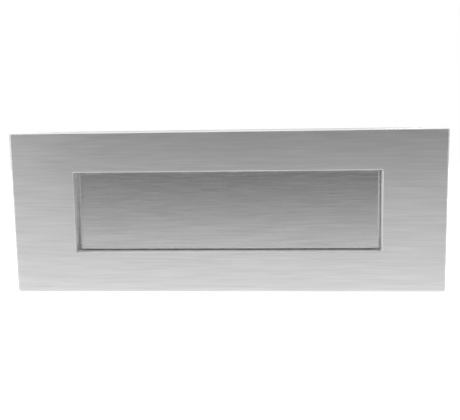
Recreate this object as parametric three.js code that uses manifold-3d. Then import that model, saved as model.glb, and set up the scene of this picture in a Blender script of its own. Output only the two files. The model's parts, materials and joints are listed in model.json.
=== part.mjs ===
// A sprung letter plate for a front door: a cast face plate with a recessed flap that swings inwards.
// Millimetres. Origin: the middle of the plate, in the plane where its back rests on the door.
// +X is to the right as seen from the street, +Y runs into the door, +Z is up.
import * as THREE from "three";
import { mergeVertices } from "three/addons/utils/BufferGeometryUtils.js";
import Module from "manifold-3d";

const wasm = await Module();
wasm.setup();

// Face plate: a hollow casting with a rim round the letter opening.
const PLATE_WIDTH = 305;
const PLATE_HEIGHT = 114;
const PLATE_DEPTH = 9;
const PLATE_CORNER = 1.6;
const PLATE_EDGE = 1.4;
const SKIN = 3;
const OUTER_WALL = 3.5;
const OPENING_WIDTH = 216;
const OPENING_HEIGHT = 57.2;
const OPENING_CORNER = 0.8;
const OPENING_EDGE = 0.8;
const RIM_WALL = 3;
const CAST_CORNER = 2;

// Hinge: one long pin in two pressed brackets.
const PIN_R = 2;
const PIN_HALF = 118;
const PIN_EDGE = 0.4;
const PIN_Y = 5;
const PIN_Z = 37.5;
const GROOVE_R = 1.6;
const GROOVE_WIDTH = 1;
const RUNNING_GAP = 0.1;
const KNUCKLE_R = 4;
const KNUCKLE_START = 92.3;
const KNUCKLE_END = 110.3;
const STRIP = 2; // thickness of the bracket's steel
const EAR_X = 113;
const EAR_R = 4.5;
const FOOT_WIDTH = 16;
const FOOT_HEIGHT = 24;
const FOOT_CORNER = 2;
const PAD_HEIGHT = 2;
const PAD_MARGIN = 1; // how far the pad under the foot reaches past it
const EAR_ROOT_HALF = 9; // half the ear's height where it leaves the foot
const EAR_ARC = 0.3 * Math.PI; // the ear's round end, to each side of straight back
const CLIP_X = 115.7;
const CLIP_THICK = 0.8;
const CLIP_R = 3.5;
const CLIP_MOUTH = 2.4;
const SPACER_X = 111.9;
const SPACER_THICK = 1;
const SPACER_GAP = 0.2;

// Flap: a flange that closes behind the rim, and a raised panel that fills the opening.
// It hangs from the pin and leans out at the bottom, so that only its lower lip meets the rim.
const FLAP_LEAN = THREE.MathUtils.degToRad(3);
const FLAP_WALL = 2.5;
const PANEL_RAISE = 3;
const PANEL_EDGE = 0.8;
const PANEL_CORNER = 0.9;
const FLANGE_WIDTH = 219.4;
const FLANGE_BOTTOM = -32;
const FLANGE_TOP = 33;
const SIDE_GAP = 1.45;
const TOP_GAP = 0.8;
const BOTTOM_GAP = 0.7;
const POCKET_BORDER = 3;
const END_FLOAT = 0.4; // the flap sits this far to the right along its pin

// Rubber buffers on the flap's lower lip, which quieten it as it closes.
const BUFFER = { width: 8, height: 2, thick: 0.8, x: 96, z: -30.1 };
const BUFFER_TO_RIM = 0.15;
const BUFFER_TO_LIP = 0.05;

// Bracket screws, M3.5 with a pan head.
const SCREW_R = 1.6;
const SCREW_HOLE_R = 1.75;
const SCREW_HEAD_R = 3.25;
const SCREW_HEAD = 1.8;
const SCREW_LENGTH = 5;
const SCREW_POINT = 0.5; // chamfer at the screw's end
const RECESS = { arm: 1.7, half: 0.35 };
const SCREW_SPACING = 15;
const SCREW_X = EAR_X + 10;
const BLIND_SKIN = 1.5; // metal left in front of every blind hole

// Torsion springs on the pin, between the knuckles.
const WIRE_R = 0.6;
const COIL_R = 3.2;
const COIL_START = 75.6;
const COIL_END = 90.4;
const COIL_TURNS = 10;
const CONTACT_GAP = 0.3;
const FIXED_LEG_RISE = 11.5;
const FLAP_LEG_DROP = 20.5;
const LAND_WIDTH = 10;
const LAND_BELOW = 3; // how far the land runs past the end of the leg
const WIRE_STEP = 2; // length of one straight step along the wire

// Through fixings for a door 44 mm thick.
const DOOR = 44;
const STUD_X = 136;
const STUD_R = 3;
const STUD_END = 42;
const STUD_EDGE = 0.6;
const TAPPED_R = 3.3;
const BOSS_R = 7;
const WASHER_R = 9;
const WASHER_HOLE_R = 4.3;
const WASHER_THICK = 1;
const SLEEVE_R = 4;
const SLEEVE_LENGTH = 18;
const NUT_HEAD_R = 8;
const NUT_HEAD = 3;
const NUT_EDGE = 0.8;
const NUT_SLOT = 1.6;
const SLEEVE_FLOOR = 0.5; // metal between the sleeve's bore and the head's seat

const FRONT = -PLATE_DEPTH;
const SKIN_BACK = FRONT + SKIN;
const PAD_BACK = SKIN_BACK + PAD_HEIGHT;
const FOOT_BACK = PAD_BACK + STRIP;
const BLIND_END = FRONT + BLIND_SKIN;
// On the flap, depths and heights are counted from the pin's axis.
const LIP_TO_RIM = BUFFER_TO_RIM + BUFFER.thick + BUFFER_TO_LIP;
const FLANGE_FRONT = (LIP_TO_RIM - PIN_Y + (PIN_Z - BUFFER.z) * Math.sin(FLAP_LEAN))
  / Math.cos(FLAP_LEAN);
const FLANGE_BACK = FLANGE_FRONT + FLAP_WALL;
const PANEL_FRONT = FLANGE_FRONT - PANEL_RAISE;
const PANEL_BOTTOM = -OPENING_HEIGHT / 2 + BOTTOM_GAP - PIN_Z;
const PANEL_TOP = OPENING_HEIGHT / 2 - TOP_GAP - PIN_Z;
const ROUND = 32; // sides of a turned piece
const SMALL_ROUND = 16;
const THROUGH = 2; // how far a cutter runs past the face that it cuts

const satinChrome = { color: 0xb4b6b8, roughness: 0.32, metalness: 1 };
const zincSteel = { color: 0xa9adb2, roughness: 0.42, metalness: 1 };
const brightSteel = { color: 0x9a9c9f, roughness: 0.3, metalness: 1 };
const springSteel = { color: 0x5f6063, roughness: 0.45, metalness: 1 };
const blackRubber = { color: 0x17181a, roughness: 0.85, metalness: 0 };
const nylon = { color: 0xdcdad2, roughness: 0.5, metalness: 0 };

// Turns a closed geometry into a solid that can be joined and cut.
function solid(geometry) {
  const bare = geometry.clone();
  bare.deleteAttribute("normal");
  bare.deleteAttribute("uv");
  const merged = mergeVertices(bare, 1e-4);
  const index = merged.index.array;
  const corners = [];
  for (let i = 0; i < index.length; i += 3) {
    const [a, b, c] = index.slice(i, i + 3);
    if (a !== b && b !== c && c !== a) corners.push(a, b, c);
  }
  const mesh = new wasm.Mesh({
    numProp: 3,
    vertProperties: new Float32Array(merged.attributes.position.array),
    triVerts: new Uint32Array(corners),
  });
  return new wasm.Manifold(mesh);
}

function geometryOf(manifold) {
  const { vertProperties, triVerts } = manifold.getMesh();
  const geometry = new THREE.BufferGeometry();
  geometry.setAttribute("position", new THREE.BufferAttribute(vertProperties, 3));
  geometry.setIndex(new THREE.BufferAttribute(triVerts, 1));
  geometry.computeVertexNormals();
  return geometry;
}

const joined = (solids) => solids.reduce((sum, next) => sum.add(next));
const ascending = (a, b) => a - b;

function piece(name, geometry, finish) {
  const mesh = new THREE.Mesh(geometry, new THREE.MeshStandardMaterial(finish));
  mesh.name = name;
  return mesh;
}

function roundedRectangle(width, height, radius, middleZ = 0) {
  const [x, z] = [width / 2 - radius, height / 2 - radius];
  const shape = new THREE.Shape();
  shape.absarc(x, middleZ + z, radius, 0, Math.PI / 2);
  shape.absarc(-x, middleZ + z, radius, Math.PI / 2, Math.PI);
  shape.absarc(-x, middleZ - z, radius, Math.PI, 1.5 * Math.PI);
  shape.absarc(x, middleZ - z, radius, 1.5 * Math.PI, 2 * Math.PI);
  shape.closePath();
  return shape;
}

// An outline in X and Z, drawn out along Y from front to back.
function slab(outline, front, back) {
  const options = { depth: back - front, bevelEnabled: false, curveSegments: 3 };
  const geometry = new THREE.ExtrudeGeometry(outline, options);
  return geometry.rotateX(Math.PI / 2).translate(0, back, 0);
}

// The same, with its front and back edges rounded inside the outline.
function roundedSlab(outline, front, back, radius) {
  const geometry = new THREE.ExtrudeGeometry(outline, {
    depth: back - front - 2 * radius,
    bevelThickness: radius,
    bevelSize: radius,
    bevelOffset: -radius,
    bevelSegments: 3,
    curveSegments: 3,
  });
  return geometry.rotateX(Math.PI / 2).translate(0, back - radius, 0);
}

// A block between two values on each axis.
function block([x0, x1], [y0, y1], [z0, z1]) {
  const geometry = new THREE.BoxGeometry(x1 - x0, y1 - y0, z1 - z0);
  return geometry.translate((x0 + x1) / 2, (y0 + y1) / 2, (z0 + z1) / 2);
}

// A round bar along Y, from one depth to another, at a place in X and Z.
function barY(radius, front, back, x = 0, z = 0, sides = ROUND) {
  const geometry = new THREE.CylinderGeometry(radius, radius, back - front, sides);
  return geometry.translate(x, (front + back) / 2, z);
}

// A round bar on the X axis.
function barX(radius, from, to) {
  const geometry = new THREE.CylinderGeometry(radius, radius, to - from, ROUND);
  return geometry.rotateZ(-Math.PI / 2).translate((from + to) / 2, 0, 0);
}

// A profile of [radius, height] points, turned about Y.
function turned(profile, sides = ROUND) {
  return new THREE.LatheGeometry(profile.map(([r, h]) => new THREE.Vector2(r, h)), sides);
}

function facePlate() {
  const outline = roundedRectangle(PLATE_WIDTH, PLATE_HEIGHT, PLATE_CORNER);
  const body = solid(roundedSlab(outline, FRONT, THROUGH, PLATE_EDGE));
  const behind = block(
    [-PLATE_WIDTH, PLATE_WIDTH], [0, 2 * THROUGH], [-PLATE_HEIGHT, PLATE_HEIGHT]);
  return geometryOf(body
    .subtract(solid(behind))
    .subtract(castHollow())
    .subtract(letterOpening())
    .subtract(joined([-1, 1].map(blindHoles))));
}

// The hollow behind the skin, which leaves the outer wall, the rim, the bosses and the pads.
function castHollow() {
  const outline = roundedRectangle(
    PLATE_WIDTH - 2 * OUTER_WALL, PLATE_HEIGHT - 2 * OUTER_WALL, CAST_CORNER);
  outline.holes.push(roundedRectangle(
    OPENING_WIDTH + 2 * RIM_WALL, OPENING_HEIGHT + 2 * RIM_WALL, CAST_CORNER));
  let hollow = solid(slab(outline, SKIN_BACK, THROUGH));
  for (const side of [-1, 1]) {
    const padX = [EAR_X - RIM_WALL, EAR_X + FOOT_WIDTH + PAD_MARGIN].map((x) => side * x);
    const padHalf = FOOT_HEIGHT / 2 + PAD_MARGIN;
    const pad = block(
      padX.sort(ascending), [SKIN_BACK - THROUGH / 2, PAD_BACK], [PIN_Z - padHalf, PIN_Z + padHalf]);
    const boss = barY(BOSS_R, SKIN_BACK - THROUGH / 2, 2 * THROUGH, side * STUD_X);
    hollow = hollow.subtract(solid(pad)).subtract(solid(boss));
  }
  return hollow;
}

// The letter opening, with its front edge broken all round.
function letterOpening() {
  const outline = roundedRectangle(OPENING_WIDTH, OPENING_HEIGHT, OPENING_CORNER);
  const flare = new THREE.ExtrudeGeometry(outline, {
    depth: THROUGH,
    bevelThickness: OPENING_EDGE,
    bevelSize: OPENING_EDGE,
    bevelSegments: 1,
    curveSegments: 3,
  });
  flare.rotateX(Math.PI / 2).translate(0, FRONT, 0);
  return solid(slab(outline, FRONT - THROUGH, THROUGH)).add(solid(flare));
}

// On one side: the tapped hole for the stud and the two holes for the bracket's screws.
function blindHoles(side) {
  const holes = [barY(TAPPED_R, BLIND_END, THROUGH, side * STUD_X)];
  for (const z of [PIN_Z - SCREW_SPACING / 2, PIN_Z + SCREW_SPACING / 2]) {
    holes.push(barY(SCREW_HOLE_R, BLIND_END, 0, side * SCREW_X, z, SMALL_ROUND));
  }
  return joined(holes.map(solid));
}

// The flap, with its origin on the pin's axis.
function flap() {
  const flangeMiddle = (FLANGE_TOP + FLANGE_BOTTOM) / 2 - PIN_Z;
  const flangeOutline = roundedRectangle(
    FLANGE_WIDTH, FLANGE_TOP - FLANGE_BOTTOM, CAST_CORNER, flangeMiddle);
  const parts = [solid(slab(flangeOutline, FLANGE_FRONT, FLANGE_BACK)), raisedPanel()];
  const bores = [];
  for (const side of [-1, 1]) {
    const [from, to] = [side * KNUCKLE_START, side * KNUCKLE_END].sort(ascending);
    const webFoot = FLANGE_TOP - PIN_Z - THROUGH;
    parts.push(solid(barX(KNUCKLE_R, from, to)));
    parts.push(solid(block([from, to], [FLANGE_FRONT, FLANGE_BACK], [webFoot, 0])));
    bores.push(solid(barX(PIN_R + RUNNING_GAP, from - THROUGH, to + THROUGH)));
  }
  return geometryOf(joined(parts).subtract(joined(bores)).subtract(flapPocket()));
}

// The panel that shows in the opening. Its back edge runs into the flange.
function raisedPanel() {
  const width = OPENING_WIDTH - 2 * SIDE_GAP;
  const middle = (PANEL_TOP + PANEL_BOTTOM) / 2;
  const outline = roundedRectangle(width, PANEL_TOP - PANEL_BOTTOM, PANEL_CORNER, middle);
  return solid(roundedSlab(outline, PANEL_FRONT, FLANGE_BACK - PANEL_EDGE, PANEL_EDGE));
}

// The pocket in the flap's back keeps its wall even, and leaves a land under each spring's leg.
function flapPocket() {
  const width = OPENING_WIDTH - 2 * SIDE_GAP - 2 * POCKET_BORDER;
  const [bottom, top] = [PANEL_BOTTOM + POCKET_BORDER, PANEL_TOP - POCKET_BORDER];
  const outline = roundedRectangle(width, top - bottom, CAST_CORNER, (top + bottom) / 2);
  let pocket = solid(slab(outline, PANEL_FRONT + FLAP_WALL, FLANGE_BACK + THROUGH));
  for (const side of [-1, 1]) {
    const middle = side * COIL_START - END_FLOAT;
    const landX = [middle - LAND_WIDTH / 2, middle + LAND_WIDTH / 2];
    const landZ = [-FLAP_LEG_DROP - LAND_BELOW, top + THROUGH];
    pocket = pocket.subtract(solid(block(landX, [PANEL_FRONT, FLANGE_BACK + 2 * THROUGH], landZ)));
  }
  return pocket;
}

// A pressed right-angle bracket. Its origin is on the pin's axis, at the ear's inner face.
function bracket() {
  const ear = new THREE.Shape();
  const root = PAD_BACK - PIN_Y;
  ear.moveTo(root, -EAR_ROOT_HALF);
  ear.absarc(0, 0, EAR_R, -EAR_ARC, EAR_ARC);
  ear.lineTo(root, EAR_ROOT_HALF);
  ear.closePath();
  const options = { depth: STRIP, bevelEnabled: false, curveSegments: 12 };
  const earGeometry = new THREE.ExtrudeGeometry(ear, options);
  // The shape's x becomes Y and its y becomes Z, and it is drawn out along X.
  const turn = new THREE.Matrix4().makeBasis(
    new THREE.Vector3(0, 1, 0), new THREE.Vector3(0, 0, 1), new THREE.Vector3(1, 0, 0));
  earGeometry.applyMatrix4(turn);
  const foot = roundedRectangle(FOOT_WIDTH, FOOT_HEIGHT, FOOT_CORNER);
  const footGeometry = slab(foot, root, root + STRIP).translate(FOOT_WIDTH / 2, 0, 0);
  const cuts = [solid(barX(PIN_R + RUNNING_GAP, -THROUGH, STRIP + THROUGH))];
  for (const z of [-SCREW_SPACING / 2, SCREW_SPACING / 2]) {
    const x = SCREW_X - EAR_X;
    cuts.push(solid(barY(SCREW_HOLE_R, root - THROUGH, root + STRIP + THROUGH, x, z, SMALL_ROUND)));
  }
  return geometryOf(solid(earGeometry).add(solid(footGeometry)).subtract(joined(cuts)));
}

// A pan-head screw with a cross recess. Its origin is under the head, which faces +Y.
function bracketScrew() {
  const screw = turned([
    [0, -SCREW_LENGTH], [SCREW_R - SCREW_POINT, -SCREW_LENGTH], [SCREW_R, SCREW_POINT - SCREW_LENGTH],
    [SCREW_R, 0], [SCREW_HEAD_R, 0], [SCREW_HEAD_R, 0.7 * SCREW_HEAD],
    [0.8 * SCREW_HEAD_R, SCREW_HEAD], [0, SCREW_HEAD],
  ], SMALL_ROUND);
  const { arm, half } = RECESS;
  const across = block([-arm, arm], [SCREW_HEAD / 2, 2 * SCREW_HEAD], [-half, half]);
  const upright = block([-half, half], [SCREW_HEAD / 2, 2 * SCREW_HEAD], [-arm, arm]);
  return geometryOf(solid(screw).subtract(solid(across).add(solid(upright))));
}

// The hinge pin, with a groove near each end for its clip.
function hingePin() {
  const profile = [];
  for (const side of [-1, 1]) {
    const [near, far] = [CLIP_X - GROOVE_WIDTH / 2, CLIP_X + GROOVE_WIDTH / 2];
    const half = [
      [0, PIN_HALF], [PIN_R - PIN_EDGE, PIN_HALF], [PIN_R, PIN_HALF - PIN_EDGE],
      [PIN_R, far], [GROOVE_R, far], [GROOVE_R, near], [PIN_R, near],
    ].map(([r, x]) => [r, side * x]);
    profile.push(...(side < 0 ? half : half.reverse()));
  }
  return turned(profile).rotateZ(-Math.PI / 2);
}

// An E-clip on its groove, open downwards.
function pinClip() {
  const half = CLIP_THICK / 2;
  const ring = solid(barX(CLIP_R, -half, half));
  const bore = solid(barX(GROOVE_R + RUNNING_GAP, -CLIP_THICK, CLIP_THICK));
  const mouth = solid(block(
    [-CLIP_THICK, CLIP_THICK], [-CLIP_MOUTH / 2, CLIP_MOUTH / 2], [-2 * CLIP_R, 0]));
  return geometryOf(ring.subtract(bore).subtract(mouth));
}

// A flat ring that lies across Y, with its middle at the origin.
function ring(inner, outer, thick) {
  const half = thick / 2;
  return turned([[inner, -half], [outer, -half], [outer, half], [inner, half], [inner, -half]]);
}

// A spring's wire: the fixed leg, the coil about X, and the leg that presses on the flap.
class SpringWire extends THREE.Curve {
  constructor(side) {
    super();
    const fixedTip = [SKIN_BACK + WIRE_R + CONTACT_GAP - PIN_Y, FIXED_LEG_RISE];
    const onFlap = new THREE.Vector2(FLANGE_BACK + WIRE_R + CONTACT_GAP, -FLAP_LEG_DROP);
    const flapTip = onFlap.rotateAround(new THREE.Vector2(), -FLAP_LEAN).toArray();
    const fixed = SpringWire.tangent(fixedTip, -1);
    const moving = SpringWire.tangent(flapTip, 1);
    this.side = side;
    this.fixedTip = fixedTip;
    this.flapTip = flapTip;
    this.first = fixed.angle;
    this.last = moving.angle - 2 * Math.PI * COIL_TURNS;
    const coil = COIL_R * (this.first - this.last);
    const total = fixed.length + coil + moving.length;
    this.coilFrom = fixed.length / total;
    this.coilTo = (fixed.length + coil) / total;
  }

  // Where a line from a tip touches the coil, as an angle about X, and that line's length.
  static tangent([y, z], sense) {
    const away = Math.hypot(y, z);
    const angle = Math.atan2(z, y) + sense * Math.acos(COIL_R / away);
    return { angle, length: Math.sqrt(away * away - COIL_R * COIL_R) };
  }

  getPoint(t, target = new THREE.Vector3()) {
    const u = THREE.MathUtils.clamp((t - this.coilFrom) / (this.coilTo - this.coilFrom), 0, 1);
    const angle = this.first + u * (this.last - this.first);
    const x = this.side * (COIL_END + u * (COIL_START - COIL_END));
    target.set(x, COIL_R * Math.cos(angle), COIL_R * Math.sin(angle));
    if (t < this.coilFrom) {
      target.lerp(new THREE.Vector3(x, ...this.fixedTip), 1 - t / this.coilFrom);
    } else if (t > this.coilTo) {
      target.lerp(new THREE.Vector3(x, ...this.flapTip), (t - this.coilTo) / (1 - this.coilTo));
    }
    return target;
  }
}

function torsionSpring(side) {
  const section = new THREE.Shape();
  section.absarc(0, 0, WIRE_R, 0, 2 * Math.PI);
  const extrudePath = new SpringWire(side);
  const steps = Math.round(extrudePath.getLength() / WIRE_STEP);
  return new THREE.ExtrudeGeometry(section, { extrudePath, steps, curveSegments: 3 });
}

function fixingStud() {
  const start = BLIND_END + CONTACT_GAP;
  return turned([
    [0, start], [STUD_R - STUD_EDGE, start], [STUD_R, start + STUD_EDGE],
    [STUD_R, STUD_END - STUD_EDGE], [STUD_R - STUD_EDGE, STUD_END], [0, STUD_END],
  ]);
}

// A slotted sleeve nut. Its origin is under the head, on the washer.
function fixingNut() {
  const nut = turned([
    [0, -SLEEVE_FLOOR], [TAPPED_R, -SLEEVE_FLOOR], [TAPPED_R, -SLEEVE_LENGTH], [SLEEVE_R, -SLEEVE_LENGTH],
    [SLEEVE_R, 0], [NUT_HEAD_R, 0], [NUT_HEAD_R, NUT_HEAD - NUT_EDGE],
    [NUT_HEAD_R - NUT_EDGE, NUT_HEAD], [0, NUT_HEAD],
  ]);
  const slot = block(
    [-2 * NUT_HEAD_R, 2 * NUT_HEAD_R], [NUT_HEAD / 2, 2 * NUT_HEAD], [-NUT_SLOT / 2, NUT_SLOT / 2]);
  return geometryOf(solid(nut).subtract(solid(slot)));
}

const letterPlate = new THREE.Group();
letterPlate.add(piece("face_plate", facePlate(), satinChrome));

// Everything on the pin's axis is placed in a group whose X axis is that axis.
const hinge = new THREE.Group();
hinge.position.set(0, PIN_Y, PIN_Z);
hinge.add(piece("hinge_pin", hingePin(), brightSteel));
letterPlate.add(hinge);

const hungFlap = new THREE.Group();
hungFlap.position.x = END_FLOAT;
hungFlap.rotation.x = -FLAP_LEAN;
hungFlap.add(piece("flap", flap(), satinChrome));
hinge.add(hungFlap);

for (const [hand, side] of [["left", -1], ["right", 1]]) {
  // The two brackets are the same pressing, so the left one is turned round.
  const pressing = new THREE.Group();
  pressing.position.x = side * EAR_X;
  pressing.rotation.y = side < 0 ? Math.PI : 0;
  pressing.add(piece(`hinge_bracket_${hand}`, bracket(), zincSteel));
  hinge.add(pressing);
  for (const [level, sign] of [["lower", -1], ["upper", 1]]) {
    const screw = piece(`bracket_screw_${hand}_${level}`, bracketScrew(), zincSteel);
    screw.position.set(side * SCREW_X, FOOT_BACK, PIN_Z + sign * SCREW_SPACING / 2);
    letterPlate.add(screw);
  }

  const clip = piece(`pin_clip_${hand}`, pinClip(), brightSteel);
  clip.position.x = side * CLIP_X;
  hinge.add(clip);
  const spacer = piece(
    `spacer_washer_${hand}`, ring(PIN_R + SPACER_GAP, KNUCKLE_R, SPACER_THICK), nylon);
  spacer.rotation.z = -Math.PI / 2;
  spacer.position.x = side * SPACER_X;
  hinge.add(spacer);
  hinge.add(piece(`torsion_spring_${hand}`, torsionSpring(side), springSteel));

  const size = [BUFFER.width, BUFFER.thick, BUFFER.height];
  const buffer = piece(`buffer_pad_${hand}`, new THREE.BoxGeometry(...size), blackRubber);
  const bufferY = FLANGE_FRONT - BUFFER_TO_LIP - BUFFER.thick / 2;
  buffer.position.set(side * BUFFER.x, bufferY, BUFFER.z - PIN_Z);
  hungFlap.add(buffer);

  const fixing = new THREE.Group();
  fixing.position.x = side * STUD_X;
  fixing.add(piece(`fixing_stud_${hand}`, fixingStud(), zincSteel));
  const washer = piece(
    `fixing_washer_${hand}`, ring(WASHER_HOLE_R, WASHER_R, WASHER_THICK), zincSteel);
  washer.position.y = DOOR + WASHER_THICK / 2;
  fixing.add(washer);
  const nut = piece(`fixing_nut_${hand}`, fixingNut(), satinChrome);
  nut.position.y = DOOR + WASHER_THICK;
  fixing.add(nut);
  letterPlate.add(fixing);
}

export default letterPlate;
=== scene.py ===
"""The looks of a sprung letter plate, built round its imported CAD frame. Lengths are in metres."""
import json
import math

import bmesh
import bpy
from mathutils import Matrix, Vector


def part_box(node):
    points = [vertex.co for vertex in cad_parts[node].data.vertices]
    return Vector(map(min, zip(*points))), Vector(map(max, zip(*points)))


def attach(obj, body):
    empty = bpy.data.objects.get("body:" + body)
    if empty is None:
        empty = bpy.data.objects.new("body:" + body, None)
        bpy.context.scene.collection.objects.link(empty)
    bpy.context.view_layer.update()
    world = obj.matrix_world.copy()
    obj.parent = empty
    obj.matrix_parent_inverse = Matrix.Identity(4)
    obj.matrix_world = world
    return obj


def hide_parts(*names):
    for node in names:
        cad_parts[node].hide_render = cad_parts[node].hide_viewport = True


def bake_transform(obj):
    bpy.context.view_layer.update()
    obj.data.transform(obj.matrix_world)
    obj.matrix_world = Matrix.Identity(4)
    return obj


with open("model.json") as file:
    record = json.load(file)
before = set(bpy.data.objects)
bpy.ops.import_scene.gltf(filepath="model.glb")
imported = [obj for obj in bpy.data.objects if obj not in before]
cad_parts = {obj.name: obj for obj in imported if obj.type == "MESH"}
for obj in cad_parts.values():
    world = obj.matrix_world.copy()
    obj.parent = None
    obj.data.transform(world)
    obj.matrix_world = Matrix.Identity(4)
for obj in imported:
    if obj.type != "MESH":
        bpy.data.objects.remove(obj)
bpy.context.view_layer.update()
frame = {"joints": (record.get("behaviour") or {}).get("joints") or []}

MM = 0.001
JOINT = frame["joints"][0]
PIVOT = Vector(JOINT["pos_m"])
PLATE_LOW, PLATE_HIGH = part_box("face_plate")
SIDES = {"left": -1, "right": 1}

# Face plate, as in the CAD part.
EDGE = 1.4 * MM
CORNER = 1.6 * MM
SKIN = 3 * MM
OUTER_WALL = 3.5 * MM
RIM_WALL = 3 * MM
OPENING = (216 * MM, 57.2 * MM)
OPENING_EDGE = 0.7 * MM
OPENING_CORNER = 0.9 * MM
BACK_EDGE = 0.3 * MM
FILLET = 0.8 * MM
CAST_CORNER = 2 * MM
FRONT = PLATE_LOW.y
SKIN_BACK = FRONT + SKIN
PAD_BACK = SKIN_BACK + 2 * MM
BOSS_R = 7 * MM
HOLE_R = 3.3 * MM

# Flap, counted from the pin's axis before it leans.
LEAN = math.radians(3)
FLAP_WALL = 2.5 * MM
PANEL_RAISE = 3 * MM
PANEL_EDGE = 0.8 * MM
PANEL = (213.1 * MM, 55.7 * MM)
PANEL_MIDDLE = -37.55 * MM
PANEL_CORNER = 1.2 * MM
FLANGE = (219.4 * MM, 65 * MM)
FLANGE_MIDDLE = -37 * MM
FLANGE_CORNER = 2 * MM
BUFFER = (8 * MM, 0.8 * MM, 2 * MM)
BUFFER_DROP = 67.6 * MM
LIP_TO_RIM = 1 * MM  # the lip stands this far behind the rim, where the buffers are
FLANGE_FRONT = (LIP_TO_RIM - PIVOT.y + BUFFER_DROP * math.sin(LEAN)) / math.cos(LEAN)
FLANGE_BACK = FLANGE_FRONT + FLAP_WALL
PANEL_FRONT = FLANGE_FRONT - PANEL_RAISE
POCKET_BORDER = 3 * MM
END_FLOAT = 0.4 * MM
KNUCKLE = (92.3 * MM, 110.3 * MM)
KNUCKLE_R = 4 * MM

# Brackets. The ear's round end starts EAR_ARC from straight back and stops EAR_TIP from it.
STRIP = 2 * MM
EAR_X = min(abs(v.x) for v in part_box("hinge_bracket_left"))
EAR_R = 4.5 * MM
EAR_ROOT_HALF = 9 * MM
EAR_ARC = 0.3 * math.pi
EAR_TIP = 0.06
BEND_R = 1 * MM
FOOT_CORNER = 2 * MM
FOOT_NOTCH = 1.2 * MM
SCREW_R = 1.6 * MM
SCREW_HOLE_R = 1.75 * MM

# Hinge pin and springs.
PIN_R = 2 * MM
BORE_R = 2.1 * MM
GROOVE_R = 1.6 * MM
WIRE_R = 0.6 * MM
COIL_R = 3.2 * MM
COIL = (75.6 * MM, 90.4 * MM)
COIL_TURNS = 10
CONTACT = 0.3 * MM
FIXED_RISE = 11.5 * MM
FLAP_DROP = 20.5 * MM

# A face whose middle is this close to a plane counts as lying on it.
NEAR = 0.1 * MM

# Camera, just right of the middle and a little above. The turn is in degrees about X, Y and Z.
LENS = 59.8
CAMERA_AT = Vector((0.0396, FRONT - 0.5268, 0.0857))
CAMERA_TURN = (80.94, 0.96, 3.865)

# Studio. Metal looks right only in the right surroundings, so what it mirrors is set apart from
# what lights the floor: a painted glow in the floor, seen only in the metal, that is brightest at
# the plate's foot and dark far off, a bright wall on the left, a dark room ahead and a lighter wall
# on the right. Distances are in front of or behind the plate, and directions run from -1, left, to
# 1, right.
FLOOR_R = 0.95
FOOT_MIRRORED = 1.25
FOOT_FADES = (0, 0.15)
FLOOR_MIRRORED = 1.05
FLOOR_FADES = (0.45, 0.9)
LEFT_MIRRORED = 1.75
LEFT_FADES = (-0.6, -0.3)
AHEAD_MIRRORED = 0.08
RIGHT_MIRRORED = 1.1
RIGHT_RISES = (0.6, 1.0)
OVERHEAD_MIRRORED = 1.4
BEHIND_MIRRORED = 0.35
EVEN_LIGHT = 1.25


# --- mesh code -------------------------------------------------------------------------------

def piece_from(name, bm, angle=35):
    """Makes an object of a bmesh, with its faces pointing out and its edges sharp above an angle."""
    bmesh.ops.remove_doubles(bm, verts=bm.verts, dist=1e-7)
    bmesh.ops.recalc_face_normals(bm, faces=bm.faces)
    mesh = bpy.data.meshes.new(name)
    bm.to_mesh(mesh)
    bm.free()
    obj = bpy.data.objects.new(name, mesh)
    bpy.context.scene.collection.objects.link(obj)
    smooth(obj, angle)
    return obj


def smooth(obj, angle=35):
    obj.data.shade_smooth()
    obj.data.set_sharp_from_angle(angle=math.radians(angle))


def bridge(bm, rings, closed=False, caps=False):
    """Joins rings of points, all of one length, with quads."""
    rows = [[bm.verts.new(p) for p in ring] for ring in rings]
    pairs = list(zip(rows, rows[1:])) + ([(rows[-1], rows[0])] if closed else [])
    for a, b in pairs:
        for i in range(len(a)):
            j = (i + 1) % len(a)
            bm.faces.new((a[i], a[j], b[j], b[i]))
    if caps:
        bm.faces.new(rows[0])
        bm.faces.new(list(reversed(rows[-1])))


def rounded_ring(size, radius, y, middle=0, steps=5):
    """A rounded rectangle in X and Z at one depth."""
    x, z = size[0] / 2 - radius, size[1] / 2 - radius
    points = []
    for quarter, (sx, sz) in enumerate([(1, 1), (-1, 1), (-1, -1), (1, -1)]):
        for step in range(steps + 1):
            angle = math.pi / 2 * (quarter + step / steps)
            points.append(Vector((
                sx * x + radius * math.cos(angle), y, middle + sz * z + radius * math.sin(angle))))
    return points


def grown(size, by):
    return (size[0] + 2 * by, size[1] + 2 * by)


def quarter_turn(steps=5):
    """Cosine and sine pairs from 0 to 90 degrees."""
    turns = [math.pi / 2 * i / steps for i in range(steps + 1)]
    return [(math.cos(t), math.sin(t)) for t in turns]


def lathe(bm, profile, axis, origin, sides=48):
    """Turns a profile of (radius, distance) points about an axis through a point."""
    turn = Vector((0, 0, 1)).rotation_difference(Vector(axis)).to_matrix()
    rings = []
    for radius, along in profile:
        rings.append([
            turn @ Vector((radius * math.cos(a), radius * math.sin(a), along)) + Vector(origin)
            for a in (2 * math.pi * i / sides for i in range(sides))])
    bridge(bm, rings, caps=True)


def box(bm, low, high):
    made = bmesh.ops.create_cube(bm, size=1)["verts"]
    for v in made:
        v.co = Vector([low[k] if v.co[k] < 0 else high[k] for k in range(3)])


def apply_modifiers(obj):
    graph = bpy.context.evaluated_depsgraph_get()
    mesh = bpy.data.meshes.new_from_object(obj.evaluated_get(graph))
    obj.modifiers.clear()
    old = obj.data
    obj.data = mesh
    bpy.data.meshes.remove(old)


def boolean(obj, how, tool):
    """Joins or cuts obj with the object tool, which is used up."""
    step = obj.modifiers.new(how, "BOOLEAN")
    step.operation = how
    step.solver = "EXACT"
    step.object = tool
    apply_modifiers(obj)
    bpy.data.objects.remove(tool)
    return obj


def tool_of(build):
    bm = bmesh.new()
    build(bm)
    return piece_from("tool", bm)


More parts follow.
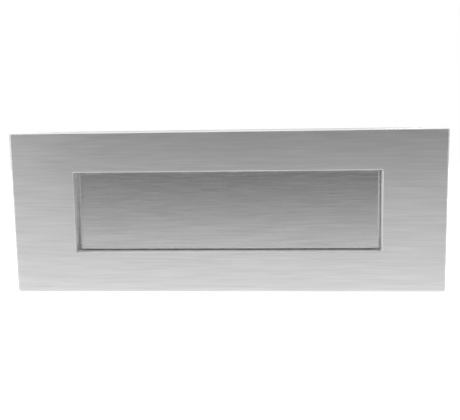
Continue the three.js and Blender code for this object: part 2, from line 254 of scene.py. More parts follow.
def rod(axis, origin, radius, start, end, sides=48):
    """A plain round cutter or core."""
    return tool_of(lambda bm: lathe(bm, [(radius, start), (radius, end)], axis, origin, sides))


def break_edges(obj, width, segments=2, angle=35):
    """Rounds every sharp edge a little."""
    step = obj.modifiers.new("edges", "BEVEL")
    step.width = width
    step.segments = segments
    step.limit_method = "ANGLE"
    step.angle_limit = math.radians(angle)
    apply_modifiers(obj)
    smooth(obj, angle)


def dress(obj, *materials):
    obj.data.materials.clear()
    for material in materials:
        obj.data.materials.append(material)


def finish_piece(obj, body, node, material=None):
    if material:
        dress(obj, material)
    normals = obj.modifiers.new("normals", "WEIGHTED_NORMAL")
    normals.keep_sharp = True
    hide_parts(node)
    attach(obj, body)
    return obj


# --- materials -------------------------------------------------------------------------------

class Nodes:
    """Short ways to add nodes to a tree."""

    def __init__(self, tree):
        self.tree = tree

    def add(self, kind, **settings):
        node = self.tree.nodes.new(kind)
        for key, value in settings.items():
            setattr(node, key, value)
        return node

    def link(self, out, node, socket):
        self.tree.links.new(out, node.inputs[socket])

    def spread(self, value, low, high, start=0.3, end=0.7):
        """Maps a range of a value to another."""
        node = self.add("ShaderNodeMapRange")
        for socket, number in zip(("From Min", "From Max", "To Min", "To Max"),
                                  (start, end, low, high)):
            node.inputs[socket].default_value = number
        self.link(value, node, "Value")
        return node.outputs["Result"]

    def total(self, first, second):
        node = self.add("ShaderNodeMath", operation="ADD")
        self.link(first, node, 0)
        self.link(second, node, 1)
        return node.outputs["Value"]

    def mix(self, share, first, second):
        """One shader or the other."""
        node = self.add("ShaderNodeMixShader")
        self.link(share, node, 0)
        self.link(first, node, 1)
        self.link(second, node, 2)
        return node.outputs["Shader"]


def grey(level):
    return (level, level, level)


class Surface(Nodes):
    """A Principled material with short ways to add the nodes that drive it."""

    def __init__(self, name, **constants):
        self.material = bpy.data.materials.new(name)
        self.material.use_nodes = True
        super().__init__(self.material.node_tree)
        self.shader = self.tree.nodes["Principled BSDF"]
        self.place = self.add("ShaderNodeTexCoord").outputs["Object"]
        for socket, value in constants.items():
            self.shader.inputs[socket.replace("_", " ")].default_value = value

    def noise(self, size, detail=3):
        """Noise whose blobs are about this size along X, Y and Z."""
        mapping = self.add("ShaderNodeMapping")
        mapping.inputs["Scale"].default_value = [1 / s for s in size]
        self.link(self.place, mapping, "Vector")
        noise = self.add("ShaderNodeTexNoise")
        noise.inputs["Scale"].default_value = 1
        noise.inputs["Detail"].default_value = detail
        noise.inputs["Roughness"].default_value = 0.55
        self.link(mapping.outputs["Vector"], noise, "Vector")
        return noise.outputs["Fac"]

    def tint(self, value, dark, light):
        """Drives the base colour between two greys or colours."""
        node = self.add("ShaderNodeMix", data_type="RGBA")
        node.inputs[6].default_value = (*dark, 1)
        node.inputs[7].default_value = (*light, 1)
        self.link(value, node, 0)
        self.link(node.outputs[2], self.shader, "Base Color")

    def rough(self, value):
        self.link(value, self.shader, "Roughness")

    def bump(self, value, height):
        """Adds relief of about this height."""
        node = self.add("ShaderNodeBump")
        node.inputs["Distance"].default_value = height
        before = self.shader.inputs["Normal"]
        if before.is_linked:
            self.link(before.links[0].from_socket, node, "Normal")
        self.link(value, node, "Height")
        self.link(node.outputs["Normal"], self.shader, "Normal")


def satin_chrome(name, level, roughness):
    """Satin chrome plate over metal brushed along X."""
    s = Surface(name, Metallic=1, Anisotropic=0.5)
    tangent = s.add("ShaderNodeTangent", direction_type="RADIAL", axis="X")
    s.link(tangent.outputs["Tangent"], s.shader, "Tangent")
    streaks = s.noise((34 * MM, 5 * MM, 1.5 * MM), detail=3)
    hairs = s.noise((20 * MM, 4 * MM, 0.45 * MM), detail=2)
    patches = s.noise((45 * MM, 45 * MM, 12 * MM), detail=2)
    s.tint(s.spread(streaks, 0, 1), grey(0.92 * level), grey(1.06 * level))
    s.rough(s.spread(hairs, roughness - 0.03, roughness + 0.03))
    s.bump(patches, 0.012 * MM)
    s.bump(streaks, 0.003 * MM)
    s.bump(hairs, 0.002 * MM)
    return s.material


def filed_chrome(name, level):
    """Plate over the opening's walls, which a file has left dull and even. Its level is given
    lighter than the face's: painted light on the opening's ledge.
    """
    s = Surface(name, Metallic=1)
    lines = s.noise((0.6 * MM, 8 * MM, 0.6 * MM), detail=2)
    clouds = s.noise((9 * MM,) * 3, detail=2)
    s.tint(s.spread(clouds, 0, 1), grey(0.96 * level), grey(1.04 * level))
    s.rough(s.spread(lines, 0.5, 0.58))
    s.bump(lines, 0.008 * MM)
    return s.material


def cast_chrome(name, level):
    """The same plating over a back left as it was cast: duller and pebbled."""
    s = Surface(name, Metallic=1)
    grains = s.noise((0.9 * MM,) * 3, detail=3)
    clouds = s.noise((14 * MM,) * 3, detail=3)
    s.tint(s.spread(clouds, 0, 1), grey(0.82 * level), grey(level))
    s.rough(s.spread(grains, 0.42, 0.58))
    s.bump(clouds, 0.3 * MM)
    s.bump(grains, 0.05 * MM)
    return s.material


def zinc_plate(name):
    s = Surface(name, Metallic=1)
    clouds = s.noise((5 * MM,) * 3, detail=4)
    grains = s.noise((0.5 * MM,) * 3, detail=2)
    s.tint(s.spread(clouds, 0, 1), (0.46, 0.49, 0.53), (0.62, 0.63, 0.66))
    s.rough(s.spread(clouds, 0.3, 0.46))
    s.bump(grains, 0.012 * MM)
    return s.material


def drawn_steel(name, low, high, roughness, along="X"):
    """Round bar and wire, with faint lines along its length."""
    s = Surface(name, Metallic=1)
    size = {"X": (30 * MM, 0.3 * MM, 0.3 * MM), "Y": (0.3 * MM, 30 * MM, 0.3 * MM)}[along]
    lines = s.noise(size, detail=3)
    clouds = s.noise((6 * MM,) * 3, detail=2)
    s.tint(s.spread(clouds, 0, 1), grey(low), grey(high))
    s.rough(s.spread(lines, roughness - 0.06, roughness + 0.08))
    s.bump(lines, 0.008 * MM)
    return s.material


def moulded(name, dark, light, roughness, **constants):
    """Rubber or plastic straight from its mould."""
    s = Surface(name, **constants)
    grains = s.noise((0.35 * MM,) * 3, detail=2)
    clouds = s.noise((3 * MM,) * 3, detail=3)
    s.tint(s.spread(clouds, 0, 1), dark, light)
    s.rough(s.spread(grains, roughness - 0.08, roughness + 0.06))
    s.bump(grains, 0.02 * MM)
    return s.material


def pale_floor():
    """Plain and pale to look at. The metal sees a painted glow in it instead: bright near the plate
    and dark far off.
    """
    s = Surface("pale_floor", Specular_IOR_Level=0.1)
    clouds = s.noise((0.4,) * 3, detail=3)
    s.tint(s.spread(clouds, 0, 1), grey(0.9), grey(0.93))
    s.rough(s.spread(clouds, 0.75, 0.85))
    split = s.add("ShaderNodeSeparateXYZ")
    s.link(s.place, split, "Vector")
    distance = s.add("ShaderNodeMath", operation="ABSOLUTE")
    s.link(split.outputs["Y"], distance, 0)
    # Painted glow: the floor gives off light only for rays mirrored off the metal, strongest at the
    # plate's foot.
    glow = s.add("ShaderNodeEmission")
    foot = s.spread(distance.outputs["Value"], FOOT_MIRRORED - FLOOR_MIRRORED, 0, *FOOT_FADES)
    floor = s.spread(distance.outputs["Value"], FLOOR_MIRRORED, 0, *FLOOR_FADES)
    s.link(s.total(foot, floor), glow, "Strength")
    mirrored = s.add("ShaderNodeLightPath").outputs["Is Glossy Ray"]
    both = s.mix(mirrored, s.shader.outputs["BSDF"], glow.outputs["Emission"])
    s.link(both, s.tree.nodes["Material Output"], "Surface")
    return s.material


FACE_LEVEL = 0.62
SATIN_FACE = satin_chrome("satin_chrome_face", FACE_LEVEL, 0.32)
SATIN_FLAP = satin_chrome("satin_chrome_flap", 1.02 * FACE_LEVEL, 0.25)
# The walls get a lighter level than the face's chrome: painted light, for the light from above that
# falls on the opening's bottom ledge.
OPENING_WALL = filed_chrome("satin_chrome_wall", 1.3 * FACE_LEVEL)
CAST_BACK = cast_chrome("satin_chrome_cast", 0.92 * FACE_LEVEL)
TURNED_CHROME = cast_chrome("satin_chrome_turned", FACE_LEVEL)
ZINC = zinc_plate("zinc_steel")
PIN_STEEL = drawn_steel("pin_steel", 0.5, 0.6, 0.28)
SPRING_STEEL = drawn_steel("spring_steel", 0.2, 0.32, 0.36)
RUBBER = moulded("black_rubber", grey(0.02), grey(0.035), 0.8)
NYLON = moulded("nylon", (0.78, 0.76, 0.7), (0.85, 0.84, 0.79), 0.5, Subsurface_Weight=0.1)


# --- the plate -------------------------------------------------------------------------------

def plate_rings():
    """The casting's section, from ring to ring: front, opening, rim, hollow and outer wall."""
    outer = (PLATE_HIGH.x - PLATE_LOW.x, PLATE_HIGH.z - PLATE_LOW.z)
    rim = grown(OPENING, RIM_WALL)
    inside = grown(outer, -OUTER_WALL)
    rings = []

    def ring(size, radius, y):
        rings.append(rounded_ring(size, radius, y))

    ring(outer, CORNER, -BACK_EDGE)
    for c, s in quarter_turn(6):
        ring(grown(outer, -EDGE * (1 - c)), CORNER - EDGE * (1 - c), FRONT + EDGE * (1 - s))
    for c, s in reversed(quarter_turn(5)):
        by = OPENING_EDGE * (1 - c)
        ring(grown(OPENING, by), OPENING_CORNER + by, FRONT + OPENING_EDGE * (1 - s))
    ring(OPENING, OPENING_CORNER, -BACK_EDGE)
    ring(grown(OPENING, BACK_EDGE), OPENING_CORNER + BACK_EDGE, 0)
    ring(grown(rim, -BACK_EDGE), CAST_CORNER - BACK_EDGE, 0)
    ring(rim, CAST_CORNER, -BACK_EDGE)
    for c, s in quarter_turn(4):
        by = FILLET * (1 - c)
        ring(grown(rim, by), CAST_CORNER + by, SKIN_BACK + FILLET * (1 - s))
    for c, s in reversed(quarter_turn(4)):
        by = FILLET * (1 - c)
        ring(grown(inside, -by), CAST_CORNER, SKIN_BACK + FILLET * (1 - s))
    ring(inside, CAST_CORNER, -BACK_EDGE)
    ring(grown(inside, BACK_EDGE), CAST_CORNER, 0)
    ring(grown(outer, -BACK_EDGE), CORNER, 0)
    return rings


def face_plate():
    """The casting's section, swept round the opening, with its bosses, pads and blind holes."""
    bm = bmesh.new()
    bridge(bm, plate_rings(), closed=True)
    plate = piece_from("face_plate_visual", bm)
    for hand, side in SIDES.items():
        boolean(plate, "UNION", bracket_pad(hand, side))
        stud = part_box(f"fixing_stud_{hand}")
        origin = ((stud[0].x + stud[1].x) / 2, 0, 0)
        boolean(plate, "UNION", tool_of(lambda bm: lathe(bm, boss_profile(), (0, 1, 0), origin)))
        boolean(plate, "DIFFERENCE", rod((0, 1, 0), origin, HOLE_R, stud[0].y - CONTACT, MM))
    smooth(plate)
    dress(plate, SATIN_FACE, CAST_BACK, OPENING_WALL)
    paint_plate(plate)
    return finish_piece(plate, "plate", "face_plate")


def boss_profile():
    """A stud's boss: a fillet at its foot and a broken edge at its top."""
    profile = [(BOSS_R + FILLET, SKIN_BACK - 0.5 * MM)]
    for c, s in reversed(quarter_turn(4)):
        profile.append((BOSS_R + FILLET * (1 - c), SKIN_BACK + FILLET * (1 - s)))
    return profile + [(BOSS_R, -BACK_EDGE), (BOSS_R - BACK_EDGE, 0)]


def bracket_pad(hand, side):
    """The raised pad under a hinge bracket, with sloping sides so that it leaves the mould."""
    low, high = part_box(f"hinge_bracket_{hand}")
    middle = (low.z + high.z) / 2
    start = OPENING[0] / 2 + RIM_WALL - MM
    end = max(abs(low.x), abs(high.x)) + 0.8 * MM
    height = high.z - low.z + 1.6 * MM
    draft = 0.3 * MM

    def build(bm):
        rings = []
        for by, y in ((draft, SKIN_BACK - 0.5 * MM), (0, PAD_BACK - 0.2 * MM),
                      (-0.2 * MM, PAD_BACK)):
            size = (end - start + 2 * by, height + 2 * by)
            ring = rounded_ring(size, 1.5 * MM, y, middle)
            rings.append([p + Vector((side * (start + end) / 2, 0, 0)) for p in ring])
        bridge(bm, rings, caps=True)
    return tool_of(build)


def paint_plate(plate):
    """Brushed front and sides, filed walls in the opening, and the back left as cast."""
    inside_x = PLATE_HIGH.x - OUTER_WALL + NEAR
    inside_z = PLATE_HIGH.z - OUTER_WALL + NEAR
    for face in plate.data.polygons:
        c = face.center
        in_opening = abs(c.x) < OPENING[0] / 2 + NEAR and abs(c.z) < OPENING[1] / 2 + NEAR
        in_hollow = c.y > SKIN_BACK - NEAR and abs(c.x) < inside_x and abs(c.z) < inside_z
        if in_opening and abs(face.normal.y) < 0.5:
            face.material_index = 2
        else:
            face.material_index = 1 if face.normal.y > 0.5 or in_hollow else 0


# --- the flap --------------------------------------------------------------------------------

def hang(obj):
    """Takes a piece from the flap's own frame to its place on the pin, leaning at rest."""
    to_pin = Matrix.Translation(PIVOT + Vector((END_FLOAT, 0, 0)))
    obj.data.transform(to_pin @ Matrix.Rotation(-LEAN, 4, "X"))
    return obj


def flap():
    rings = []

    def panel_ring(by, y, radius=PANEL_CORNER):
        rings.append(rounded_ring(grown(PANEL, by), radius, y, PANEL_MIDDLE))

    def flange_ring(by, y):
        rings.append(rounded_ring(grown(FLANGE, by), FLANGE_CORNER, y, FLANGE_MIDDLE))

    for c, s in reversed(quarter_turn(6)):
        by = PANEL_EDGE * (1 - c)
        panel_ring(-by, PANEL_FRONT + PANEL_EDGE * (1 - s), PANEL_CORNER - by)
    panel_ring(0, FLANGE_FRONT - BACK_EDGE)
    panel_ring(BACK_EDGE, FLANGE_FRONT)
    flange_ring(-BACK_EDGE, FLANGE_FRONT)
    flange_ring(0, FLANGE_FRONT + BACK_EDGE)
    flange_ring(0, FLANGE_BACK - BACK_EDGE)
    flange_ring(-BACK_EDGE, FLANGE_BACK)
    floor = PANEL_FRONT + FLAP_WALL
    panel_ring(BACK_EDGE - POCKET_BORDER, FLANGE_BACK, CAST_CORNER)
    panel_ring(-POCKET_BORDER, FLANGE_BACK - BACK_EDGE, CAST_CORNER)
    for c, s in quarter_turn(4):
        panel_ring(-POCKET_BORDER - FILLET * (1 - c), floor + FILLET * (1 - s), CAST_CORNER)
    bm = bmesh.new()
    bridge(bm, rings, caps=True)
    obj = piece_from("flap_visual", bm)
    for side in SIDES.values():
        boolean(obj, "UNION", spring_land(side, floor))
        boolean(obj, "UNION", knuckle(side))
        boolean(obj, "DIFFERENCE", rod((1, 0, 0), (0, 0, 0), BORE_R,
                                       *sorted(side * k for k in (89 * MM, 114 * MM))))
    smooth(obj)
    dress(obj, SATIN_FLAP, CAST_BACK)
    for face in obj.data.polygons:
        in_front = face.center.y < FLANGE_FRONT + NEAR and face.center.z < -KNUCKLE_R
        face.material_index = 0 if in_front and face.normal.y < 0.1 else 1
    hang(obj)
    return finish_piece(obj, "flap", "flap")


def spring_land(side, floor):
    """The raised strip that a spring's leg presses on, across the flap's pocket."""
    middle = side * COIL[0] - END_FLOAT
    top = PANEL_MIDDLE + PANEL[1] / 2 - POCKET_BORDER + 0.5 * MM
    low = (middle - 5 * MM, floor - 0.5 * MM, -FLAP_DROP - 3 * MM)
    tool = tool_of(lambda bm: box(bm, low, (middle + 5 * MM, FLANGE_BACK, top)))
    break_edges(tool, 0.25 * MM)
    return tool


def knuckle(side):
    """A barrel and the web that joins it to the flange."""
    start, end = sorted(side * k for k in KNUCKLE)
    edge = 0.4 * MM
    profile = [(KNUCKLE_R - edge, start), (KNUCKLE_R, start + edge),
               (KNUCKLE_R, end - edge), (KNUCKLE_R - edge, end)]
    barrel = tool_of(lambda bm: lathe(bm, profile, (1, 0, 0), (0, 0, 0)))
    foot = FLANGE_MIDDLE + FLANGE[1] / 2 - 2 * MM
    inset = BACK_EDGE
    web = tool_of(lambda bm: box(bm, (start + inset, FLANGE_FRONT + inset / 2, foot),
                                 (end - inset, FLANGE_BACK - inset / 2, 0)))
    return boolean(barrel, "UNION", web)


def buffer_pad(hand):
    """A stuck-on rubber buffer with soft edges."""
    low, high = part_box(f"buffer_pad_{hand}")
    middle = (low + high) / 2
    lean = Matrix.Translation(middle) @ Matrix.Rotation(-LEAN, 4, "X")
    half = Vector(BUFFER) / 2
    bm = bmesh.new()
    box(bm, -half, half)
    pad = piece_from(f"buffer_pad_{hand}_visual", bm)
    break_edges(pad, 0.3 * MM, segments=4)
    pad.data.transform(lean)
    return finish_piece(pad, "flap", f"buffer_pad_{hand}", RUBBER)


# --- the hinge -------------------------------------------------------------------------------

def hinge_pin():
    """A plain pin with broken edges and a groove for each clip."""
    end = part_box("hinge_pin")[1].x
    edge = 0.4 * MM
    half_groove = 0.5 * MM
    profile = [(PIN_R - edge, end), (PIN_R, end - edge)]
    clip = sum(v.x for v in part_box("pin_clip_right")) / 2
    profile += [(PIN_R, clip + half_groove), (GROOVE_R, clip + half_groove),
                (GROOVE_R, clip - half_groove), (PIN_R, clip - half_groove)]
    profile = [(r, -x) for r, x in profile] + list(reversed(profile))
    bm = bmesh.new()
    lathe(bm, profile, (1, 0, 0), (0, PIVOT.y, PIVOT.z), sides=40)
    obj = piece_from("hinge_pin_visual", bm)
    return finish_piece(obj, "plate", "hinge_pin", PIN_STEEL)


def pin_clip(hand):
    """An E-clip: a spring ring with a mouth below and three prongs in the pin's groove."""
    low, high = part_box(f"pin_clip_{hand}")
    outer, hollow, seat = 3.45 * MM, 2.55 * MM, 1.7 * MM
    mouth = math.radians(38)
    prongs = ((math.pi / 2, 0.42), (-math.pi / 2, 1.25))  # middle and half width in radians
    slope = 0.18
    steps = 72

    def inner(angle):
        """The inner edge's radius; the prongs are at the top and beside the mouth."""
        for middle, half in prongs:
            off = abs((angle - middle + math.pi) % (2 * math.pi) - math.pi) - half
            if off < 0:
                return seat
            if off < slope:
                return seat + (hollow - seat) * off / slope
        return hollow

    bm = bmesh.new()
    rings = []
    for i in range(steps + 1):
        angle = -math.pi / 2 + mouth + (2 * math.pi - 2 * mouth) * i / steps
        across = Vector((0, math.cos(angle), math.sin(angle)))
        centre = Vector((0, PIVOT.y, PIVOT.z))
        rings.append([centre + across * r + Vector((x, 0, 0)) for r, x in (
            (inner(angle), low.x), (outer, low.x), (outer, high.x), (inner(angle), high.x))])
    bridge(bm, rings, caps=True)
    obj = piece_from(f"pin_clip_{hand}_visual", bm)
    break_edges(obj, 0.08 * MM)
    return finish_piece(obj, "plate", f"pin_clip_{hand}", PIN_STEEL)


def flat_ring(name, node, axis, inner, edge, body, material, sides=48):
    """A washer with softened edges, in its node's box."""
    low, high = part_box(node)
    middle = (low + high) / 2
    along = 0 if axis[0] else 1
    half = (high[along] - low[along]) / 2
    outer = (high.z - low.z) / 2
    section = [(inner + edge, -half), (outer - edge, -half), (outer, edge - half),
               (outer, half - edge), (outer - edge, half), (inner + edge, half),
               (inner, half - edge), (inner, edge - half)]
    turn = Vector((0, 0, 1)).rotation_difference(Vector(axis)).to_matrix()
    bm = bmesh.new()
    rings = []
    for radius, at in section:
        rings.append([turn @ Vector((radius * math.cos(a), radius * math.sin(a), at)) + middle
                      for a in (2 * math.pi * i / sides for i in range(sides))])
    bridge(bm, rings, closed=True)
    return finish_piece(piece_from(name, bm), body, node, material)


def bracket(hand, side):
    """A pressed steel angle: its foot lies on the pad and its ear carries the pin."""
    bm = bmesh.new()
    rings = []
    for (xi, yi), (xo, yo), half in bracket_sections(*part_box(f"hinge_bracket_{hand}")):
        corners = ((xi, yi, -half), (xi, yi, half), (xo, yo, half), (xo, yo, -half))
        rings.append([Vector((side * x, y, PIVOT.z + z)) for x, y, z in corners])
    bridge(bm, rings, caps=True)
    obj = piece_from(f"hinge_bracket_{hand}_visual", bm)
    ear = (side * EAR_X, PIVOT.y, PIVOT.z)
    boolean(obj, "DIFFERENCE", rod((1, 0, 0), ear, BORE_R, -2 * STRIP, 2 * STRIP))
    for level in ("lower", "upper"):
        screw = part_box(f"bracket_screw_{hand}_{level}")
        middle = (screw[0] + screw[1]) / 2
        hole = rod((0, 1, 0), (middle.x, 0, middle.z), SCREW_HOLE_R, -6 * MM, 0)
        boolean(obj, "DIFFERENCE", hole)
    break_edges(obj, 0.2 * MM)
    return finish_piece(obj, "plate", f"hinge_bracket_{hand}", ZINC)


def bracket_sections(low, high):
    """The strip from the foot's end to the ear's: inner point, outer point and half width."""
    foot_end = max(abs(low.x), abs(high.x))
    foot_half = (high.z - low.z) / 2
    sections = []

    def foot(x, half):
        sections.append(((x, PAD_BACK + STRIP), (x, PAD_BACK), half))

    def ear(y, half):
        sections.append(((EAR_X + STRIP, y), (EAR_X, y), half))

    for c, s in reversed(quarter_turn(5)):
        foot(foot_end - FOOT_CORNER * (1 - s), foot_half - FOOT_CORNER * (1 - c))
    bend = Vector((EAR_X + STRIP + BEND_R, PAD_BACK + STRIP + BEND_R))
    foot(bend.x + FOOT_NOTCH, foot_half)
    foot(bend.x, EAR_ROOT_HALF)
    for c, s in quarter_turn(6):
        across = Vector((-s, -c))
        inner, outer = bend + across * BEND_R, bend + across * (BEND_R + STRIP)
        sections.append((tuple(inner), tuple(outer), EAR_ROOT_HALF))
    steps = 8
    for i in range(steps + 1):
        angle = EAR_ARC + (EAR_TIP - EAR_ARC) * i / steps
        ear(PIVOT.y + EAR_R * math.cos(angle), EAR_R * math.sin(angle))
    return sections


def bracket_screw(hand, level):
    """A pan-head screw with a domed head and a tapered cross recess."""
    node = f"bracket_screw_{hand}_{level}"
    low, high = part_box(node)
    middle = (low + high) / 2
    seat = PAD_BACK + STRIP
    head = high.y - seat
    head_r = (high.x - low.x) / 2
    profile = [(SCREW_R - 0.5 * MM, low.y), (SCREW_R, low.y + 0.5 * MM), (SCREW_R, seat),
               (head_r - 0.1 * MM, seat), (head_r, seat + 0.15 * MM), (head_r, seat + 0.5 * head)]
    for c, s in quarter_turn(6)[1:-1]:
        profile.append((head_r * (0.45 + 0.55 * c), seat + head * (0.5 + 0.5 * s)))
    profile.append((0.3 * head_r, high.y))
    bm = bmesh.new()
    lathe(bm, profile, (0, 1, 0), (middle.x, 0, middle.z), sides=40)
    obj = piece_from(f"{node}_visual", bm)
    turn = math.radians({"lower": 20, "upper": -35}[level])
    for quarter in (0, math.pi / 2):
        boolean(obj, "DIFFERENCE", recess_arm(middle, high.y, quarter + turn))
    smooth(obj)
    return finish_piece(obj, "plate", node, ZINC)


def recess_arm(middle, top, angle):
    """A cutter for two opposite arms of the cross, which taper to their floor."""
    arm, half, depth = 1.75 * MM, 0.36 * MM, 1.25 * MM
    bm = bmesh.new()
    rings = []
    for y, share in ((top - depth, 0.35), (top + 0.2 * MM, 1.0)):
        rings.append([
            Vector((middle.x + x * math.cos(angle) - z * math.sin(angle), y,
                    middle.z + x * math.sin(angle) + z * math.cos(angle)))
            for x, z in ((arm * share, half), (-arm * share, half),
                         (-arm * share, -half), (arm * share, -half))])
    bridge(bm, rings, caps=True)
    return piece_from("tool", bm)


def tangent(tip, sense):
    """Where a line from a tip touches the coil, as an angle about X."""
    return math.atan2(tip[1], tip[0]) + sense * math.acos(COIL_R / math.hypot(*tip))


def torsion_spring(hand, side):
    """Spring wire: a leg on the plate, ten turns round the pin and a leg on the flap."""
    fixed_tip = (SKIN_BACK + WIRE_R + CONTACT - PIVOT.y, FIXED_RISE)
    y, z = FLANGE_BACK + WIRE_R + CONTACT, -FLAP_DROP
    flap_tip = (y * math.cos(LEAN) + z * math.sin(LEAN), z * math.cos(LEAN) - y * math.sin(LEAN))
    first = tangent(fixed_tip, -1)
    last = tangent(flap_tip, 1) - 2 * math.pi * COIL_TURNS
    per_turn = 36
    steps = round(per_turn * (first - last) / (2 * math.pi))
    path = [Vector((side * COIL[1], *fixed_tip))]
    for i in range(steps + 1):
        u = i / steps
        angle = first + u * (last - first)
        x = side * (COIL[1] + u * (COIL[0] - COIL[1]))
        path.append(Vector((x, COIL_R * math.cos(angle), COIL_R * math.sin(angle))))
    path.append(Vector((side * COIL[0], *flap_tip)))
    path = [p + PIVOT for p in with_leg_points(path, 8)]
    bm = bmesh.new()
    sweep(bm, path, WIRE_R, 12)
    obj = piece_from(f"torsion_spring_{hand}_visual", bm, angle=60)
    dress(obj, SPRING_STEEL)
    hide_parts(f"torsion_spring_{hand}")
    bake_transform(obj)
    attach(obj, "plate")
    return obj


def with_leg_points(path, count):
    """Adds points along the two straight legs, which are the path's first and last steps."""
    head = [path[0].lerp(path[1], i / count) for i in range(count)]
    tail = [path[-2].lerp(path[-1], i / count) for i in range(1, count + 1)]
    return head + path[1:-1] + tail


def sweep(bm, path, radius, sides):
    """A round wire along a path, with slightly rounded ends."""
    ahead = [(b - a).normalized() for a, b in zip(path, path[1:])]
    ahead.append(ahead[-1])
    up = Vector((1, 0, 0))
    rings = []
    for i, point in enumerate(path):
        along = (ahead[max(i - 1, 0)] + ahead[i]).normalized()
        up = (up - along * up.dot(along)).normalized()
        side = along.cross(up)
        share = 0.75 if i in (0, len(path) - 1) else 1
        rings.append([
            point + radius * share * (up * math.cos(a) + side * math.sin(a))
            for a in (2 * math.pi * k / sides for k in range(sides))])
        if i == 0:
            rings.append([point + along * 0.2 * radius + (p - point) / share for p in rings[0]])
        if i == len(path) - 2:
            end = path[-1] - ahead[i] * 0.2 * radius
            rings.append([end + (p - point) for p in rings[-1]])
    bridge(bm, rings, caps=True)


# --- the fixings -----------------------------------------------------------------------------

def fixing_stud(hand):
    """An M6 stud with a real thread of 1 mm pitch."""
    node = f"fixing_stud_{hand}"
    low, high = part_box(node)
    middle = (low + high) / 2
    crest = (high.x - low.x) / 2
    thread, pitch = 0.55 * MM, 1 * MM
    flank = 2.6  # how steeply the thread falls from crest to root
    start, chamfer = 0.35, 1.1 * MM  # the thread's share at the stud's tip, and its run-in
    per_pitch, sides = 8, 24
    rows = round((high.y - low.y) / pitch * per_pitch)

    def radius(y, turn):
        phase = ((y - low.y) / pitch - turn) % 1
        fall = min(abs(phase - 0.5) * flank, 1)
        from_end = min(y - low.y, high.y - y)
        share = min(1, start + from_end / chamfer)
        return crest - thread + thread * min(1 - fall, share)

    bm = bmesh.new()
    rings = []
    for row in range(rows + 1):
        y = low.y + (high.y - low.y) * row / rows
        rings.append([
            Vector((middle.x + radius(y, k / sides) * math.cos(2 * math.pi * k / sides), y,
                    middle.z + radius(y, k / sides) * math.sin(2 * math.pi * k / sides)))
            for k in range(sides)])
    bridge(bm, rings, caps=True)
    obj = piece_from(f"{node}_visual", bm, angle=75)
    return finish_piece(obj, "plate", node, ZINC)


def fixing_nut(hand):
    """A slotted sleeve nut with a low domed head."""
    node = f"fixing_nut_{hand}"
    low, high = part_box(node)
    middle = (low + high) / 2
    head_r = (high.x - low.x) / 2
    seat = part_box(f"fixing_washer_{hand}")[1].y
    sleeve, bore, dome = 4 * MM, HOLE_R, 0.9 * MM
    floor_y, lead, edge = seat - 0.5 * MM, 0.3 * MM, 0.2 * MM
    profile = [(0.2 * MM, floor_y), (bore, floor_y), (bore, low.y + lead),
               (bore + lead, low.y), (sleeve - edge, low.y), (sleeve, low.y + edge),
               (sleeve, seat), (head_r - edge, seat), (head_r, seat + edge)]
    for c, s in quarter_turn(8)[:-1]:
        profile.append((head_r * (0.25 + 0.75 * c) if s else head_r,
                        high.y - dome * (1.6 - 1.6 * s)))
    profile.append((0.25 * head_r, high.y))
    bm = bmesh.new()
    lathe(bm, profile, (0, 1, 0), (middle.x, 0, middle.z), sides=64)
    obj = piece_from(f"{node}_visual", bm)
    half_slot, depth = 0.8 * MM, 1.4 * MM
    slot = tool_of(lambda bm: box(
        bm, (middle.x - 2 * head_r, high.y - depth, middle.z - half_slot),
        (middle.x + 2 * head_r, high.y + MM, middle.z + half_slot)))
    boolean(obj, "DIFFERENCE", slot)
    break_edges(obj, 0.12 * MM)
    return finish_piece(obj, "plate", node, TURNED_CHROME)


# --- the studio ------------------------------------------------------------------------------

def floor():
    bm = bmesh.new()
    bmesh.ops.create_circle(bm, cap_ends=True, segments=128, radius=FLOOR_R)
    mesh = bpy.data.meshes.new("floor")
    bm.to_mesh(mesh)
    bm.free()
    table = bpy.data.objects.new("floor", mesh)
    table.location.z = PLATE_LOW.z
    bpy.context.scene.collection.objects.link(table)
    table.data.materials.append(pale_floor())


def area_light(name, at, size, power, mirrored):
    """A softbox turned to the plate, which the metal mirrors or doesn't."""
    data = bpy.data.lights.new(name, "AREA")
    data.shape = "RECTANGLE"
    data.size, data.size_y = size
    data.energy = power
    light = bpy.data.objects.new(name, data)
    light.location = at
    light.rotation_euler = (-Vector(at)).to_track_quat("-Z", "Y").to_euler()
    light.visible_glossy = mirrored
    bpy.context.scene.collection.objects.link(light)


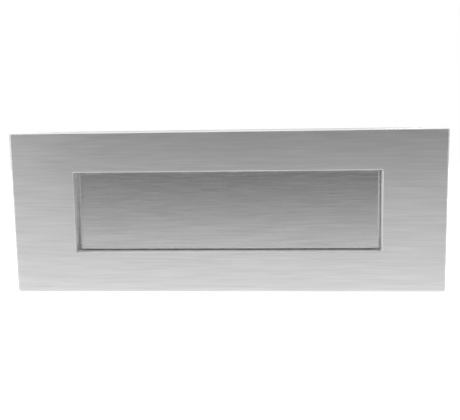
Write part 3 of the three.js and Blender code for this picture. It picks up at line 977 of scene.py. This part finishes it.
def room():
    """White to look at, even light for all that is matt, and the room that the metal mirrors."""
    world = bpy.data.worlds.new("room")
    world.use_nodes = True
    world.node_tree.nodes.clear()
    n = Nodes(world.node_tree)
    split = n.add("ShaderNodeSeparateXYZ")
    n.link(n.add("ShaderNodeTexCoord").outputs["Generated"], split, "Vector")

    def background(strength):
        node = n.add("ShaderNodeBackground")
        node.inputs["Color"].default_value = (1, 1, 1, 1)
        if isinstance(strength, float):
            node.inputs["Strength"].default_value = strength
        else:
            n.link(strength, node, "Strength")
        return node.outputs["Background"]

    behind = n.spread(split.outputs["Y"], 0, 1, 0, 0.4)
    above = n.spread(split.outputs["Z"], 0, 1, 0.3, 0.6)
    left = n.spread(split.outputs["X"], LEFT_MIRRORED, AHEAD_MIRRORED, *LEFT_FADES)
    right = n.spread(split.outputs["X"], 0, RIGHT_MIRRORED - AHEAD_MIRRORED, *RIGHT_RISES)
    ahead = background(n.total(left, right))
    around = n.mix(behind, ahead, background(BEHIND_MIRRORED))
    mirrored = n.mix(above, around, background(OVERHEAD_MIRRORED))
    ray = n.add("ShaderNodeLightPath")
    lit = n.mix(ray.outputs["Is Glossy Ray"], background(EVEN_LIGHT), mirrored)
    final = n.mix(ray.outputs["Is Camera Ray"], lit, background(1.0))
    n.link(final, n.add("ShaderNodeOutputWorld"), "Surface")
    bpy.context.scene.world = world


def studio():
    floor()
    room()
    area_light("softbox_top", (0, -0.1, 0.9), (1.2, 0.8), 4, mirrored=False)
    area_light("softbox_back_left", (-0.7, 0.8, 0.5), (0.5, 0.5), 5, mirrored=True)
    area_light("softbox_back_right", (0.6, 0.7, 0.9), (0.6, 0.4), 5, mirrored=True)
    bpy.context.scene.view_settings.view_transform = "Standard"


def camera():
    data = bpy.data.cameras.new("camera")
    data.sensor_width = 36
    data.lens = LENS
    obj = bpy.data.objects.new("camera", data)
    obj.location = CAMERA_AT
    obj.rotation_euler = [math.radians(a) for a in CAMERA_TURN]
    bpy.context.scene.collection.objects.link(obj)
    bpy.context.scene.camera = obj


camera()
studio()
face_plate()
flap()
hinge_pin()
for hand, side in SIDES.items():
    buffer_pad(hand)
    pin_clip(hand)
    flat_ring(f"spacer_washer_{hand}_visual", f"spacer_washer_{hand}", (1, 0, 0), 2.2 * MM,
              0.15 * MM, "plate", NYLON)
    bracket(hand, side)
    for level in ("lower", "upper"):
        bracket_screw(hand, level)
    torsion_spring(hand, side)
    fixing_stud(hand)
    flat_ring(f"fixing_washer_{hand}_visual", f"fixing_washer_{hand}", (0, 1, 0), 4.3 * MM,
              0.15 * MM, "plate", ZINC, sides=64)
    fixing_nut(hand)
